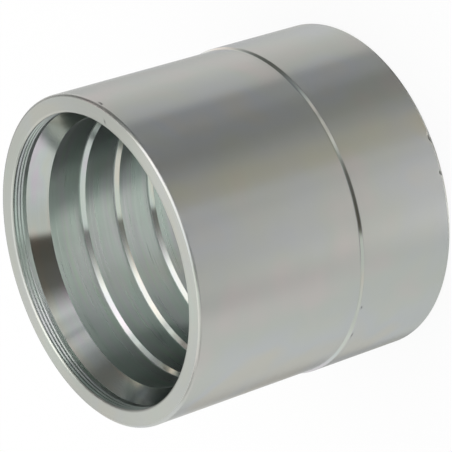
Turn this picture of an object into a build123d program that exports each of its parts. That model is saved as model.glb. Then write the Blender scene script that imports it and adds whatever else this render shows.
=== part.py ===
from build123d import *
import math
import os

# Crimp hose ferrule, one turned steel sleeve.
# It stands on its collar end with the mouth up. +Z runs along the bore towards the mouth,
# and the origin is the centre of the collar's end face. Lengths are in millimetres,
# angles in degrees, and depths are measured from the mouth face down the bore.

# Bore: the crests of the teeth let the hose slide in, and everything else is built out from them
crest_diameter = 69.0
tooth_height = 1.0
tooth_pitch = 10.6
tooth_land = 1.3
tooth_ramp_angle = 40.0
entry_land = 1.9

# Mouth: a plain counterbore that leads into the teeth through a cone
mouth_step = 2.85
mouth_depth = 4.3
mouth_chamfer = 0.35
lead_in_angle = 30.0

# Inward collar that locks behind the shoulder of the hose insert
collar_height = 5.5
collar_thickness = 6.0
collar_chamfer = 0.8

# Outside: a barrel that the crimping dies close on, and a slightly larger band behind it
total_length = 76.6
barrel_length = 49.25
barrel_wall = 6.5
band_step = 0.5
step_root_radius = 0.4
largest_root_share = 0.9
mouth_edge_radius = 0.7
band_edge_radius = 0.7


def run_of(rise, angle):
    """Axial length of a slope that climbs by rise at angle to the axis."""
    return rise / math.tan(math.radians(angle))


# Radii, worked outwards from the crests of the teeth
crest_radius = crest_diameter / 2
floor_radius = crest_radius + tooth_height
mouth_radius = crest_radius + mouth_step
barrel_radius = floor_radius + barrel_wall
band_radius = barrel_radius + band_step
collar_bore_radius = floor_radius - collar_height

# Depths, worked down the bore from the mouth face
cone_end_depth = mouth_depth + run_of(mouth_step, lead_in_angle)
entry_end_depth = cone_end_depth + entry_land
collar_face_depth = total_length - collar_thickness

# The teeth fill the bore, and the groove next to the collar is at least as long as a tooth
ramp_length = run_of(tooth_height, tooth_ramp_angle)
tooth_length = ramp_length + tooth_land
tooth_count = int((collar_face_depth - entry_end_depth - tooth_length) / tooth_pitch)

# The root of the step is rounded by the tool's nose, and takes only a share of the step's height
root_radius = min(step_root_radius, largest_root_share * band_step)


def outside_outline():
    """Half outline of the outside, from the mouth face to the collar's end face."""
    return [
        (barrel_radius, 0),
        (barrel_radius, barrel_length),
        (band_radius, barrel_length),
        (band_radius, total_length),
    ]


def collar_outline():
    """Half outline of the collar's bore, from its end face up to its inner face."""
    return [
        (collar_bore_radius + collar_chamfer, total_length),
        (collar_bore_radius, total_length - collar_chamfer),
        (collar_bore_radius, collar_face_depth + collar_chamfer),
        (collar_bore_radius + collar_chamfer, collar_face_depth),
        (floor_radius, collar_face_depth),
    ]


def tooth_outline(number):
    """Half outline of one tooth, from its steep back up over its land and down its ramp."""
    back = entry_end_depth + number * tooth_pitch
    land_start = back - tooth_land
    return [
        (floor_radius, back),
        (crest_radius, back),
        (crest_radius, land_start),
        (floor_radius, land_start - ramp_length),
    ]


def mouth_outline():
    """Half outline from the first land's steep back out to the mouth face."""
    return [
        (floor_radius, entry_end_depth),
        (crest_radius, entry_end_depth),
        (crest_radius, cone_end_depth),
        (mouth_radius, mouth_depth),
        (mouth_radius, mouth_chamfer),
        (mouth_radius + mouth_chamfer, 0),
    ]


def corner(sketch, radius, depth):
    """The sketch's corner at this radius and depth. A sketch measures in its own plane: radius, height."""
    place = Vector(radius, total_length - depth)
    return sketch.vertices().sort_by_distance(place)[0]


def half_section():
    """Closed half section of the sleeve in the XZ plane, with its ends and the step's root rounded."""
    outline = outside_outline() + collar_outline()
    for number in range(tooth_count, 0, -1):
        outline += tooth_outline(number)
    outline += mouth_outline()
    points = [(radius, total_length - depth) for radius, depth in outline]
    with BuildSketch(Plane.XZ) as section:
        with BuildLine():
            Polyline(*points, close=True)
        make_face()
        fillet(corner(section, barrel_radius, 0), mouth_edge_radius)
        fillet(corner(section, band_radius, total_length), band_edge_radius)
        fillet(corner(section, barrel_radius, barrel_length), root_radius)
    return section.sketch


ferrule = revolve(half_section(), Axis.Z)
ferrule.label = "ferrule"

os.makedirs("parts", exist_ok=True)
export_step(ferrule, "parts/ferrule.step")
print("teeth:", tooth_count, " volume in cm3:", round(ferrule.volume / 1000, 2))
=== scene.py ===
import math

import bpy
import numpy as np
from mathutils import Matrix


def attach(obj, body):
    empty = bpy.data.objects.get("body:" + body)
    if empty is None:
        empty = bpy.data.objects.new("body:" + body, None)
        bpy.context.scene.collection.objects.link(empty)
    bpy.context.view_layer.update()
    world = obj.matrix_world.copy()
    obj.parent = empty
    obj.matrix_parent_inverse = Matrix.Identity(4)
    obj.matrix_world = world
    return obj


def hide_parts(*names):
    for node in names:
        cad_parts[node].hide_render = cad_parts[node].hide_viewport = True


# Looks of a crimp hose ferrule: one turned steel sleeve, zinc plated and clear passivated.
# The sleeve's lengths are in millimetres until its mesh and its materials are made.
# Depths are measured from the mouth face down the bore.

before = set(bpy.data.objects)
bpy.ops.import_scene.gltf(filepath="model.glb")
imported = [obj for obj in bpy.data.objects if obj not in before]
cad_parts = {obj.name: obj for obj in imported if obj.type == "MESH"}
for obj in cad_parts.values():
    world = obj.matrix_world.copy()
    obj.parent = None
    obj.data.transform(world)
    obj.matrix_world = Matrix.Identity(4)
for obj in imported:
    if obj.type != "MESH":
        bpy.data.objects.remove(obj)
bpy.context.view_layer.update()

MILLIMETRE = 0.001

# Size of the sleeve, the same as the solid has
crest_radius = 34.5
floor_radius = 35.5
mouth_radius = 37.35
barrel_radius = 42.0
band_radius = 42.5
collar_bore_radius = 30.0
total_length = 76.6
mouth_depth = 4.3
mouth_chamfer = 0.35
cone_end_depth = 9.236
entry_end_depth = 11.136
tooth_pitch = 10.6
tooth_count = 5
tooth_land = 1.3
ramp_length = 1.192
collar_face_depth = 70.6
collar_chamfer = 0.8

# The step from the barrel up to the band is a short ramp between these depths
step_start = 48.43
step_end = 49.16

# Rounds that the tools leave on the edges and in the corners
end_edge_round = 0.7
mouth_edge_round = 0.7
step_round = 0.3
broken_edge = 0.07
tool_nose = 0.25
ramp_foot_round = 0.8

# Fine spiral groove in the mouth, which fades in below its first depth and out above its last
spiral_pitch = 0.94
spiral_start = 0.195
spiral_first_depth = 0.5
spiral_fade_in = 0.2
spiral_last_depth = 3.25
spiral_fade_out = 0.4
spiral_cut = 0.3

# Handling marks: angle, radius and depth of the middle, half width round the axis, half width
# along the outline, how deep it is pressed, how far it leans round the axis for each millimetre
# along, and how much painted shade darkens it, standing in for the shade inside the dent
marks = (
    # Mouth edge and mouth face
    (32.3, 42.0, 1.10, 0.6, 0.18, 0.55, 0.0, 0.0),
    (37.0, 38.9, 0.0, 0.24, 0.45, 0.04, 0.6, 0.8),
    # Far rim
    (84.0, 42.5, 75.85, 0.8, 0.25, 0.55, 0.0, 0.0),
    (96.1, 42.5, 75.80, 0.45, 0.22, 0.50, 0.0, 0.0),
    # Band, just behind the step
    (134.8, 42.5, 49.66, 0.4, 0.24, 0.12, 0.0, 0.5),
    (147.9, 42.5, 49.66, 0.8, 0.24, 0.13, 0.0, 0.6),
    # Cone
    (304.2, 35.01, 8.35, 0.2, 0.15, 0.02, 0.0, 0.0),
)

# Columns round the axis: how many are evenly spaced, how many cross each mark, and how many of
# the mark's half widths those reach to each side
even_columns = 224
mark_columns = 13
mark_reach = 2.2

# Stretches of the outline that are cut into more rows, for the spiral and for the marks until
# they have run out: the two ends as radius and depth, and how many rows
fine_stretches = (
    # Spiral
    ((37.35, 3.9), (37.35, 0.52), 42),
    # Mouth edge and mouth face
    ((42.0, 0.76), (42.0, 1.9), 12),
    ((38.1, 0.0), (40.3, 0.0), 11),
    # Far rim
    ((42.5, 74.6), (42.5, 75.87), 12),
    # Band, just behind the step
    ((42.5, 49.3), (42.5, 50.4), 14),
    # Cone
    ((34.777, 8.757), (35.243, 7.95), 10),
)

# Finish of each stretch of the outline, in the order of the materials
TURNED, FACED, BORED, BURNISHED = range(4)

# A long boring bar shivers, and leaves slow waves about this far apart
wave_gap = 1.6

# Nearly all of a noise texture lies between these two values
noise_low, noise_high = 0.3, 0.7

# How much the tool's lines change the shade and the roughness, as shares of each
line_shade = 0.012
line_dulling = 0.03

# Where along the film's noise each of its four colours lies
film_stops = (0.32, 0.44, 0.56, 0.68)


def outline():
    """Closed outline of the wall as corners of radius, depth and edge round, each with the finish
    of the stretch after it. It runs out along the mouth face, down the outside, in along the
    collar and back up the toothed bore."""
    corners = [
        (mouth_radius + mouth_chamfer, 0, mouth_edge_round, FACED),
        (barrel_radius, 0, end_edge_round, TURNED),
        (barrel_radius, step_start, step_round, BURNISHED),
        (band_radius, step_end, step_round, TURNED),
        (band_radius, total_length, end_edge_round, FACED),
        (collar_bore_radius + collar_chamfer, total_length, broken_edge, BURNISHED),
        (collar_bore_radius, total_length - collar_chamfer, broken_edge, BORED),
        (collar_bore_radius, collar_face_depth + collar_chamfer, broken_edge, BURNISHED),
        (collar_bore_radius + collar_chamfer, collar_face_depth, broken_edge, FACED),
        (floor_radius, collar_face_depth, tool_nose, BORED),
    ]
    for number in range(tooth_count, 0, -1):
        back = entry_end_depth + number * tooth_pitch
        corners += [
            (floor_radius, back, tool_nose, BURNISHED),
            (crest_radius, back, broken_edge, BORED),
            (crest_radius, back - tooth_land, broken_edge, BURNISHED),
            (floor_radius, back - tooth_land - ramp_length, ramp_foot_round, BORED),
        ]
    corners += [
        (floor_radius, entry_end_depth, tool_nose, BURNISHED),
        (crest_radius, entry_end_depth, broken_edge, BORED),
        (crest_radius, cone_end_depth, broken_edge, BURNISHED),
        (mouth_radius, mouth_depth, broken_edge, BORED),
        (mouth_radius, mouth_chamfer, tool_nose, FACED),
    ]
    return np.array(corners, dtype=float)


def rounded(corners, steps=4, margin=0.02):
    """Rows of the wall's outline, as radius, depth and finish.
    Each corner becomes an arc that touches both of its sides: with a and b the unit directions
    from the arc's centre to its ends and t the turn between them, a point is
    centre + round * (sin((1-s)t) a + sin(st) b) / sin t.
    A row just before and just after each arc keeps the flats flat where they are shaded smooth."""
    place, size = corners[:, :2], corners[:, 2:3]
    into = place - np.roll(place, 1, axis=0)
    into /= np.linalg.norm(into, axis=1, keepdims=True)
    out = np.roll(into, -1, axis=0)
    turn = np.arccos(np.clip((into * out).sum(axis=1, keepdims=True), -1, 1))
    reach = size * np.tan(turn / 2)
    start, end = place - into * reach, place + out * reach
    bisector = (out - into) / np.linalg.norm(out - into, axis=1, keepdims=True)
    centre = place + bisector * size / np.cos(turn / 2)
    a, b = (start - centre) / size, (end - centre) / size
    share = np.linspace(0, 1, steps)[None, :, None]
    t = turn[:, :, None]
    arc = np.sin((1 - share) * t) * a[:, None] + np.sin(share * t) * b[:, None]
    arc = centre[:, None] + size[:, :, None] * arc / np.sin(t)
    before = (start - into * margin)[:, None]
    after = (end + out * margin)[:, None]
    rows = np.concatenate([before, arc, after], axis=1)
    finish = np.repeat(corners[:, 3:4], steps + 2, axis=1)
    finish[:, 0] = np.roll(corners[:, 3], 1)
    return rows.reshape(-1, 2), finish.reshape(-1)


def with_more_rows(rows, finish, start, end, count):
    """The outline with count more rows spaced evenly from start to end, two points on one
    straight stretch of it. They go after the row whose step to the next one passes nearest to
    start."""
    step = np.roll(rows, -1, axis=0) - rows
    share = ((start - rows) * step).sum(axis=1) / (step * step).sum(axis=1)
    gap = np.linalg.norm(rows + share[:, None] * step - start, axis=1)
    here = np.argmin(np.where((share >= 0) & (share <= 1), gap, np.inf)) + 1
    rows = np.insert(rows, here, np.linspace(start, end, count), axis=0)
    finish = np.insert(finish, here, np.full(count, finish[here - 1]))
    return rows, finish


def spiral(angle, depth):
    """How far the spiral groove is cut outwards: a rounded valley of one pitch whose bottom
    climbs one pitch a turn, (1 + cos(2 pi turns)) / 2, faded in and out at its two ends."""
    turns = (depth - spiral_start) / spiral_pitch - angle / (2 * math.pi)
    valley = (1 + np.cos(2 * math.pi * turns)) / 2
    fade = np.clip((depth - spiral_first_depth) / spiral_fade_in, 0, 1)
    fade = fade * np.clip((spiral_last_depth - depth) / spiral_fade_out, 0, 1)
    return spiral_cut * valley * fade


def columns():
    """Angles round the axis, evenly spaced, and closer together across each mark."""
    even = np.linspace(0, 2 * math.pi, even_columns, endpoint=False)
    close = []
    for angle, radius, _, width, length, _, lean, _ in marks:
        reach = mark_reach * (width + lean * length) / radius
        even = even[np.abs(even - math.radians(angle)) > reach]
        close.append(math.radians(angle) + reach * np.linspace(-1, 1, mark_columns))
    return np.sort(np.concatenate([even, *close]))


def pressed(around, radius, depth):
    """How far the marks are pressed in, and how much painted shade darkens them: for each, press
    or shade times exp(-(distance round / width)^2 - (distance along / length)^2).
    For one that leans, the distance round grows by lean times the distance outwards and down."""
    total = np.zeros_like(around)
    painted_dent_shade = np.zeros_like(around)
    for angle, at_radius, at_depth, width, length, press, lean, dent_shade in marks:
        turned = (around - math.radians(angle)) * at_radius
        turned = turned + lean * (radius - at_radius + depth - at_depth)
        along = np.hypot(radius - at_radius, depth - at_depth)
        hollow = np.exp(-(turned / width) ** 2 - (along / length) ** 2)
        total += press * hollow
        painted_dent_shade += dent_shade * hollow
    return total, painted_dent_shade


def unrolled(rows, angle, least=0.3):
    """The wall laid out flat: across goes the length along the outline, with thin rows given a
    least width so that each keeps some pixels of a baked picture, and up goes the angle. Each
    face gets its four corners."""
    length = np.linalg.norm(np.roll(rows, -1, axis=0) - rows, axis=1)
    across = np.concatenate([[0], np.cumsum(np.maximum(length, least))])
    across /= across[-1]
    up = np.append(angle, 2 * math.pi) / (2 * math.pi)
    left, right = (
        np.repeat(side[:, None], len(angle), axis=1) for side in (across[:-1], across[1:])
    )
    low, high = (np.repeat(side[None, :], len(rows), axis=0) for side in (up[:-1], up[1:]))
    corners = np.stack([left, low, right, low, right, high, left, high], axis=-1)
    return corners.reshape(-1)


def placed(name, data):
    """A new object that shows the data, in the scene and at the origin."""
    made = bpy.data.objects.new(name, data)
    bpy.context.scene.collection.objects.link(made)
    return made


def sleeve():
    """The whole wall as one closed surface: radius and height along the outline, carried round
    the axis as (radius cos(angle), -radius sin(angle), height). The spiral is cut straight
    outwards into the counterbore, and the marks are pressed in square to the surface.
    Angle 0 lies on +X and the angle grows towards -Y."""
    rows, finish = rounded(outline())
    for start, end, count in fine_stretches:
        rows, finish = with_more_rows(rows, finish, start, end, count)
    angle = columns()
    radius = np.repeat(rows[:, :1], len(angle), axis=1)
    depth = np.repeat(rows[:, 1:], len(angle), axis=1)
    around = np.repeat(angle[None, :], len(rows), axis=0)
    along = np.roll(rows, -1, axis=0) - np.roll(rows, 1, axis=0)
    along /= np.linalg.norm(along, axis=1, keepdims=True)
    press, painted_dent_shade = pressed(around, radius, depth)
    counterbore = np.isclose(radius, mouth_radius) & (depth < mouth_depth)
    cut = np.where(counterbore, spiral(around, depth), 0)
    radius = radius + cut + along[:, 1:] * -press
    depth = depth + along[:, :1] * press
    points = np.stack([
        radius * np.cos(around),
        -radius * np.sin(around),
        total_length - depth,
    ], axis=-1).reshape(-1, 3)
    row = np.arange(len(rows))[:, None] * len(angle)
    next_row = np.roll(row, -1, axis=0)
    column = np.arange(len(angle))[None, :]
    next_column = np.roll(column, -1, axis=1)
    faces = np.stack([
        row + column,
        next_row + column,
        next_row + next_column,
        row + next_column,
    ], axis=-1).reshape(-1, 4)
    mesh = bpy.data.meshes.new("ferrule_sleeve")
    mesh.from_pydata((points * MILLIMETRE).tolist(), [], faces.tolist())
    face_finish = np.repeat(finish.astype(np.int32), len(angle))
    mesh.polygons.foreach_set("material_index", face_finish)
    mesh.polygons.foreach_set("use_smooth", np.ones(len(faces), dtype=bool))
    # The finishes read this painted shade to darken the marks, standing in for the shade inside
    # the dents
    dent_shade = mesh.attributes.new("dent_shade", "FLOAT", "POINT")
    dent_shade.data.foreach_set("value", painted_dent_shade.reshape(-1))
    # A map of the wall laid out flat, named OFBake. The export bakes through a map of
    # this name
    mesh.uv_layers.new(name="OFBake").uv.foreach_set("vector", unrolled(rows, angle))
    mesh.update()
    return placed("ferrule_sleeve", mesh)


def colour(hex_code):
    """An sRGB hex value as the linear colour that Blender works in."""
    value = np.array([int(hex_code[i:i + 2], 16) for i in (1, 3, 5)]) / 255
    linear = np.where(value <= 0.04045, value / 12.92, ((value + 0.055) / 1.055) ** 2.4)
    return (*linear.tolist(), 1.0)


def add(tree, kind, inputs=None, **settings):
    """Adds one node with its settings, and gives each of its inputs a value or the output that
    feeds it."""
    made = tree.nodes.new(kind)
    for name, value in settings.items():
        setattr(made, name, value)
    for name, value in (inputs or {}).items():
        if isinstance(value, bpy.types.NodeSocket):
            tree.links.new(value, made.inputs[name])
        else:
            made.inputs[name].default_value = value
    return made


def bare_material(name):
    """A material with nothing in its node tree yet."""
    material = bpy.data.materials.new(name)
    material.use_nodes = True
    material.node_tree.nodes.clear()
    return material


def zinc(name, roughness, spread, line_gap, line_depth, wave_depth, film_size, film_turns, films):
    """Zinc plate over turned steel, clear passivated. The plate keeps the tool's fine lines,
    which run round the axis, so it mirrors sharply along them and smears what it mirrors across
    them. Slow waves under the lines bend what it mirrors. The thin passive film gives the grey a
    faint green, lilac or straw tint that changes slowly from place to place, and painted shade
    darkens the marks. Lines, waves and film are noise, drawn out round the axis by reading the
    direction from the axis apart from how far along the outline a point lies."""
    material = bare_material(name)
    tree = material.node_tree
    place = add(tree, "ShaderNodeTexCoord").outputs["Object"]
    flat = add(tree, "ShaderNodeVectorMath", {
        0: place, 1: (1, 1, 0),
    }, operation="MULTIPLY").outputs["Vector"]
    radius = add(tree, "ShaderNodeVectorMath", {0: flat}, operation="LENGTH").outputs["Value"]
    around = add(tree, "ShaderNodeVectorMath", {0: flat}, operation="NORMALIZE").outputs["Vector"]
    height = add(tree, "ShaderNodeSeparateXYZ", {0: place}).outputs["Z"]
    along = add(tree, "ShaderNodeMath", {0: height, 1: radius}, operation="ADD").outputs["Value"]
    noises = []
    # Millimetres between changes along the outline, changes round the axis, finer detail
    for gap, turns, detail in (
        (line_gap, 1.2, 3.0),
        (wave_gap, 1.5, 1.0),
        (film_size, film_turns, 2.0),
    ):
        scaled = add(tree, "ShaderNodeMath", {
            0: along, 1: 1 / (gap * MILLIMETRE),
        }, operation="MULTIPLY")
        lengthwise = add(tree, "ShaderNodeCombineXYZ", {"Z": scaled.outputs["Value"]})
        spot = add(tree, "ShaderNodeVectorMath", {
            0: around, 1: (turns, turns, 0), 2: lengthwise.outputs["Vector"],
        }, operation="MULTIPLY_ADD")
        noises.append(add(tree, "ShaderNodeTexNoise", {
            "Vector": spot.outputs["Vector"], "Scale": 1.0, "Detail": detail, "Roughness": 0.5,
        }).outputs["Fac"])
    lines, waves, film = noises
    tint = add(tree, "ShaderNodeValToRGB", {"Fac": film})
    stops = tint.color_ramp.elements
    stops[0].position, stops[0].color = film_stops[0], colour(films[0])
    stops[1].position, stops[1].color = film_stops[-1], colour(films[-1])
    for position, hex_code in zip(film_stops[1:-1], films[1:-1]):
        stops.new(position).color = colour(hex_code)
    shade = add(tree, "ShaderNodeMapRange", {
        "Value": lines, "From Min": noise_low, "From Max": noise_high,
        "To Min": 1 - line_shade, "To Max": 1 + line_shade,
    })
    # Painted shade in the dents: the base colour is darkened by the share held in the marks'
    # attribute
    dent_shade = add(tree, "ShaderNodeAttribute", attribute_name="dent_shade").outputs["Fac"]
    unshaded = add(tree, "ShaderNodeMath", {0: 1.0, 1: dent_shade}, operation="SUBTRACT")
    bare = add(tree, "ShaderNodeVectorMath", {
        0: tint.outputs["Color"], "Scale": shade.outputs["Result"],
    }, operation="SCALE")
    base = add(tree, "ShaderNodeVectorMath", {
        0: bare.outputs["Vector"], "Scale": unshaded.outputs["Value"],
    }, operation="SCALE")
    dulled = add(tree, "ShaderNodeMapRange", {
        "Value": lines, "From Min": noise_low, "From Max": noise_high,
        "To Min": roughness * (1 - line_dulling), "To Max": roughness * (1 + line_dulling),
    })
    relief = add(tree, "ShaderNodeBump", {
        "Height": lines, "Strength": 1.0, "Distance": line_depth * MILLIMETRE,
    })
    wavy = add(tree, "ShaderNodeBump", {
        "Height": waves, "Strength": 1.0, "Distance": wave_depth * MILLIMETRE,
        "Normal": relief.outputs["Normal"],
    })
    tangent = add(tree, "ShaderNodeTangent", direction_type="RADIAL", axis="Z")
    # A quarter turn lays the smear across the lines
    surface = add(tree, "ShaderNodeBsdfPrincipled", {
        "Base Color": base.outputs["Vector"],
        "Metallic": 1.0,
        "Roughness": dulled.outputs["Result"],
        "Anisotropic": spread,
        "Anisotropic Rotation": 0.25,
        "Tangent": tangent.outputs["Tangent"],
        "Normal": wavy.outputs["Normal"],
    })
    add(tree, "ShaderNodeOutputMaterial", {"Surface": surface.outputs["BSDF"]})
    return material


ferrule = sleeve()
# Finishes in the order TURNED, FACED, BORED, BURNISHED: name, roughness, how far highlights
# smear, gap and depth of the tool's lines, depth of the slow waves, length and turns of the
# film's patches, film colours. The real feed is 0.15 to 0.3 mm, too fine to show here, so the
# lines are drawn two to three times coarser.
for finish in (
    # Long cuts along the outside: satin, with wide patches of a nearly neutral film
    ("zinc_turned_outside", 0.26, 1.0, 0.6, 0.002, 0.0, 26, 1.6,
     ("#CAC5C2", "#C4C6C1", "#C3C5C6", "#C8C6BF")),
    # Facing cuts on the ends: duller, because the cutting speed changes with the radius
    ("zinc_faced_end", 0.30, 0.9, 0.6, 0.002, 0.0, 9, 1.6,
     ("#C2C7C1", "#C4C6C0", "#C3C5C2", "#C5C5BE")),
    # Groove floors, lands and the counterbore: finely cut, with the waves of a long bar and a
    # greener film, because the bath drains slowly out of the bore
    ("zinc_bored", 0.28, 1.0, 0.5, 0.0008, 0.05, 3, 0.9,
     ("#BCCAC4", "#BFC9C5", "#C3C6C8", "#BECBC2")),
    # Cone, ramps and small chamfers, rolled nearly to a mirror by the flank of the form tool
    ("zinc_burnished", 0.13, 0.8, 0.5, 0.0003, 0.0, 7, 1.6,
     ("#C6C1C8", "#C1C7C6", "#C4C8C1", "#CCC6BD")),
):
    ferrule.data.materials.append(zinc(*finish))
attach(ferrule, "root")
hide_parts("ferrule")

# Studio, in metres: a white floor under a white sky, and a light tent that only the metal's
# reflections see
floor_reach = 4
floor_glow = 0.88
tent_radius = 3.0
tent_middle = 0.04
tent_columns = 72
tent_rows = 36

floor_mesh = bpy.data.meshes.new("studio_floor")
floor_corners = [
    (-floor_reach, -floor_reach, 0),
    (floor_reach, -floor_reach, 0),
    (floor_reach, floor_reach, 0),
    (-floor_reach, floor_reach, 0),
]
floor_mesh.from_pydata(floor_corners, [], [(0, 1, 2, 3)])
floor = placed("studio_floor", floor_mesh)
floor.visible_glossy = False
# White paint, mostly given out as its own glow so that the shadow on it stays as faint as a
# light table's
paint = bare_material("white_floor_paint")
matt = add(paint.node_tree, "ShaderNodeBsdfDiffuse", {"Color": colour("#FFFFFF")})
glowing = add(paint.node_tree, "ShaderNodeEmission", {"Color": colour("#FFFFFF"), "Strength": 1.0})
blend = add(paint.node_tree, "ShaderNodeMixShader", {
    "Fac": floor_glow, 1: matt.outputs["BSDF"], 2: glowing.outputs["Emission"],
})
add(paint.node_tree, "ShaderNodeOutputMaterial", {"Surface": blend.outputs["Shader"]})
paint.cycles.emission_sampling = "NONE"
floor_mesh.materials.append(paint)

world = bpy.data.worlds.new("white_sky")
bpy.context.scene.world = world
world.use_nodes = True
world.node_tree.nodes["Background"].inputs["Color"].default_value = (1, 1, 1, 1)

# Glow of the tent's white cloth at the sides and straight overhead, the heights in degrees
# between which it changes, and its tint
cloth_glow = 0.96
cloth_glow_overhead = 1.67
overhead_start, overhead_end = 35.0, 85.0
cloth_tint = (1.00, 1.01, 0.99)
# Cards hung in the tent, from black through grey to glowing, each over the ones before it.
# Bearings and heights are in degrees, as seen from the sleeve: bearing 0 lies on +Y, 90 on +X.
cards = (
    # left and right bearing, softness of each, bottom and top height, their softness,
    # brightness, tint
    (93, 196, 4, 5, -37, -6, 4, 0.30, (0.90, 0.94, 1.10)),
    (108, 177, 10, 8, -44, -26, 3, 0.20, (1.06, 1.07, 0.90)),
    (173, 235, 4, 11, -39, 2, 4, 0.18, (0.90, 0.97, 1.10)),
    (161, 274, 40, 33, -71, -45, 4, 2.70, (1.03, 1.01, 0.96)),
    (158, 215, 17, 4, 17, 53, 7, 0.10, (1.10, 1.02, 0.90)),
    (194, 242, 4, 33, 23, 26, 8, 0.00, (1.00, 1.00, 1.00)),
    (73, 108, 37, 20, -25, 53, 19, 0.01, (0.99, 0.99, 1.02)),
    (24, 67, 34, 9, 14, 58, 4, 0.10, (1.00, 1.00, 1.00)),
    (29, 162, 12, 40, 38, 77, 4, 2.15, (1.03, 1.00, 0.97)),
    (19, 47, 4, 27, -36, -15, 6, 0.56, (0.99, 1.00, 1.01)),
    (300, 345, 26, 5, -38, -28, 3, 0.19, (1.03, 1.01, 0.96)),
    (237, 268, 4, 18, -1, 13, 4, 0.00, (1.00, 1.00, 1.00)),
    (130, 164, 4, 7, -27, 12, 20, 0.06, (1.08, 1.05, 0.90)),
    (244, 327, 7, 4, -91, -31, 5, 0.72, (0.97, 1.02, 1.01)),
    (-12, 113, 5, 9, -93, -50, 4, 0.00, (1.00, 1.00, 1.00)),
    (6, 69, 5, 14, -19, 13, 5, 1.25, (1.01, 0.99, 1.00)),
    (213, 283, 4, 12, 40, 95, 14, 0.94, (0.98, 1.04, 0.98)),
    (-11, 28, 5, 8, 0, 16, 12, 0.15, (1.00, 1.00, 1.00)),
    (28, 90, 16, 6, 0, 16, 12, 0.09, (1.01, 1.02, 0.97)),
    (38, 102, 5, 4, 31, 55, 5, 0.05, (0.99, 1.00, 1.01)),
    (92, 107, 19, 3, 32, 40, 4, 1.85, (1.00, 1.02, 0.98)),
    (148, 234, 13, 20, -94, -62, 6, 0.00, (1.00, 1.00, 1.00)),
    (256, 273, 9, 5, 23, 27, 4, 0.45, (1.00, 1.00, 1.00)),
    (117, 146, 9, 5, 30, 39, 5, 0.12, (1.01, 1.01, 0.98)),
    (106, 135, 7, 6, -2, 20, 4, 0.00, (1.00, 1.00, 1.00)),
    (124, 152, 9, 3, 44, 64, 4, 1.66, (1.02, 0.97, 1.00)),
    (76, 95, 11, 3, 28, 34, 3, 0.79, (0.98, 1.01, 1.01)),
    (291, 312, 3, 5, 28, 49, 4, 0.20, (0.98, 0.99, 1.03)),
    (103, 133, 5, 3, 26, 37, 3, 0.23, (0.92, 0.98, 1.09)),
    (120, 130, 3, 3, 23, 28, 3, 0.86, (1.03, 0.98, 0.98)),
    (147, 164, 6, 4, -46, -20, 5, 0.26, (1.16, 1.07, 0.68)),
)


def tent():
    """The tent as a sphere: each point is
    radius * (cos(height) sin(bearing), cos(height) cos(bearing), sin(height))."""
    bearing, height = np.meshgrid(
        np.linspace(0, 2 * math.pi, tent_columns, endpoint=False),
        np.linspace(-math.pi / 2, math.pi / 2, tent_rows + 1),
        indexing="ij",
    )
    points = tent_radius * np.stack([
        np.cos(height) * np.sin(bearing),
        np.cos(height) * np.cos(bearing),
        np.sin(height),
    ], axis=-1)
    column = np.arange(tent_columns)[:, None] * (tent_rows + 1)
    next_column = np.roll(column, -1, axis=0)
    row = np.arange(tent_rows)[None, :]
    faces = np.stack([
        column + row,
        column + row + 1,
        next_column + row + 1,
        next_column + row,
    ], axis=-1)
    mesh = bpy.data.meshes.new("light_tent")
    mesh.from_pydata(points.reshape(-1, 3).tolist(), [], faces.reshape(-1, 4).tolist())
    return placed("light_tent", mesh)


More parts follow.
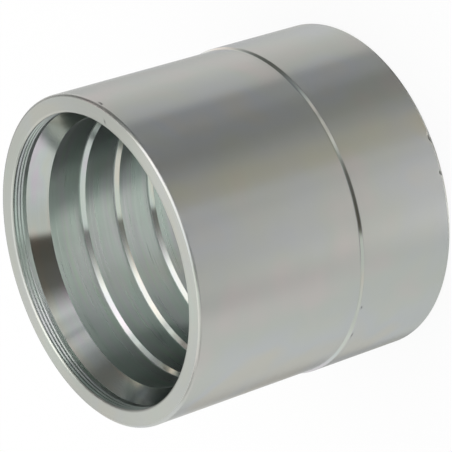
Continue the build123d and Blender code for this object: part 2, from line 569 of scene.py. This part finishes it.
def tent_cloth():
    """The tent's glow: white cloth, brighter overhead, with each card laid over it in turn by a
    soft-edged mask."""
    material = bare_material("light_tent_cloth")
    tree = material.node_tree
    place = add(tree, "ShaderNodeTexCoord").outputs["Object"]
    direction = add(tree, "ShaderNodeVectorMath", {0: place}, operation="NORMALIZE")
    split = add(tree, "ShaderNodeSeparateXYZ", {0: direction.outputs["Vector"]})
    turn = add(tree, "ShaderNodeMath", {
        0: split.outputs["X"], 1: split.outputs["Y"],
    }, operation="ARCTAN2")
    bearing = add(tree, "ShaderNodeMath", {0: turn.outputs["Value"]}, operation="DEGREES")
    climb = add(tree, "ShaderNodeMath", {0: split.outputs["Z"]}, operation="ARCSINE")
    height = add(tree, "ShaderNodeMath", {0: climb.outputs["Value"]}, operation="DEGREES")
    overhead = add(tree, "ShaderNodeMapRange", {
        "Value": height.outputs["Value"], "From Min": overhead_start, "From Max": overhead_end,
        "To Min": cloth_glow, "To Max": cloth_glow_overhead,
    }, interpolation_type="SMOOTHSTEP")
    glow = add(tree, "ShaderNodeVectorMath", {
        0: cloth_tint, "Scale": overhead.outputs["Result"],
    }, operation="SCALE").outputs["Vector"]
    for left, right, soft_left, soft_right, bottom, top, soft, brightness, tint in cards:
        middle = (left + right) / 2
        half = (right - left) / 2
        shifted = add(tree, "ShaderNodeMath", {
            0: bearing.outputs["Value"], 1: middle,
        }, operation="SUBTRACT")
        across = add(tree, "ShaderNodeMath", {
            0: shifted.outputs["Value"], 1: 180.0, 2: -180.0,
        }, operation="WRAP")
        mask = None
        for measure, edge, softness, before, after in (
            (across, -half, soft_left, 0.0, 1.0),
            (across, half, soft_right, 1.0, 0.0),
            (height, bottom, soft, 0.0, 1.0),
            (height, top, soft, 1.0, 0.0),
        ):
            side = add(tree, "ShaderNodeMapRange", {
                "Value": measure.outputs["Value"],
                "From Min": edge - softness, "From Max": edge + softness,
                "To Min": before, "To Max": after,
            }, interpolation_type="SMOOTHSTEP").outputs["Result"]
            if mask is None:
                mask = side
            else:
                mask = add(tree, "ShaderNodeMath", {
                    0: mask, 1: side,
                }, operation="MULTIPLY").outputs["Value"]
        card = (*(brightness * share for share in tint), 1.0)
        glow = add(tree, "ShaderNodeMixRGB", {
            "Fac": mask, "Color1": glow, "Color2": card,
        }).outputs["Color"]
    light = add(tree, "ShaderNodeEmission", {"Color": glow, "Strength": 1.0})
    add(tree, "ShaderNodeOutputMaterial", {"Surface": light.outputs["Emission"]})
    material.cycles.emission_sampling = "NONE"
    return material


light_tent = tent()
light_tent.data.materials.append(tent_cloth())
light_tent.location = (0, 0, tent_middle)
light_tent.visible_camera = False
light_tent.visible_diffuse = False
light_tent.visible_transmission = False
light_tent.visible_shadow = False

# Camera at the photograph's angle, in metres and degrees: it looks down the mouth from
# 33 degrees above, turned on its side
view_place = (-0.001055, -0.600534, 0.429874)
view_tilt = math.radians(56.850)
view_roll = math.radians(-107.663)
camera_data = bpy.data.cameras.new("photograph_view")
camera_data.lens = 228.5
camera_data.sensor_width = 36.0
camera = placed("photograph_view", camera_data)
camera.matrix_world = (
    Matrix.Translation(view_place)
    @ Matrix.Rotation(view_tilt, 4, "X")
    @ Matrix.Rotation(view_roll, 4, "Z")
)
bpy.context.scene.camera = camera
bpy.context.scene.view_settings.view_transform = "Standard"
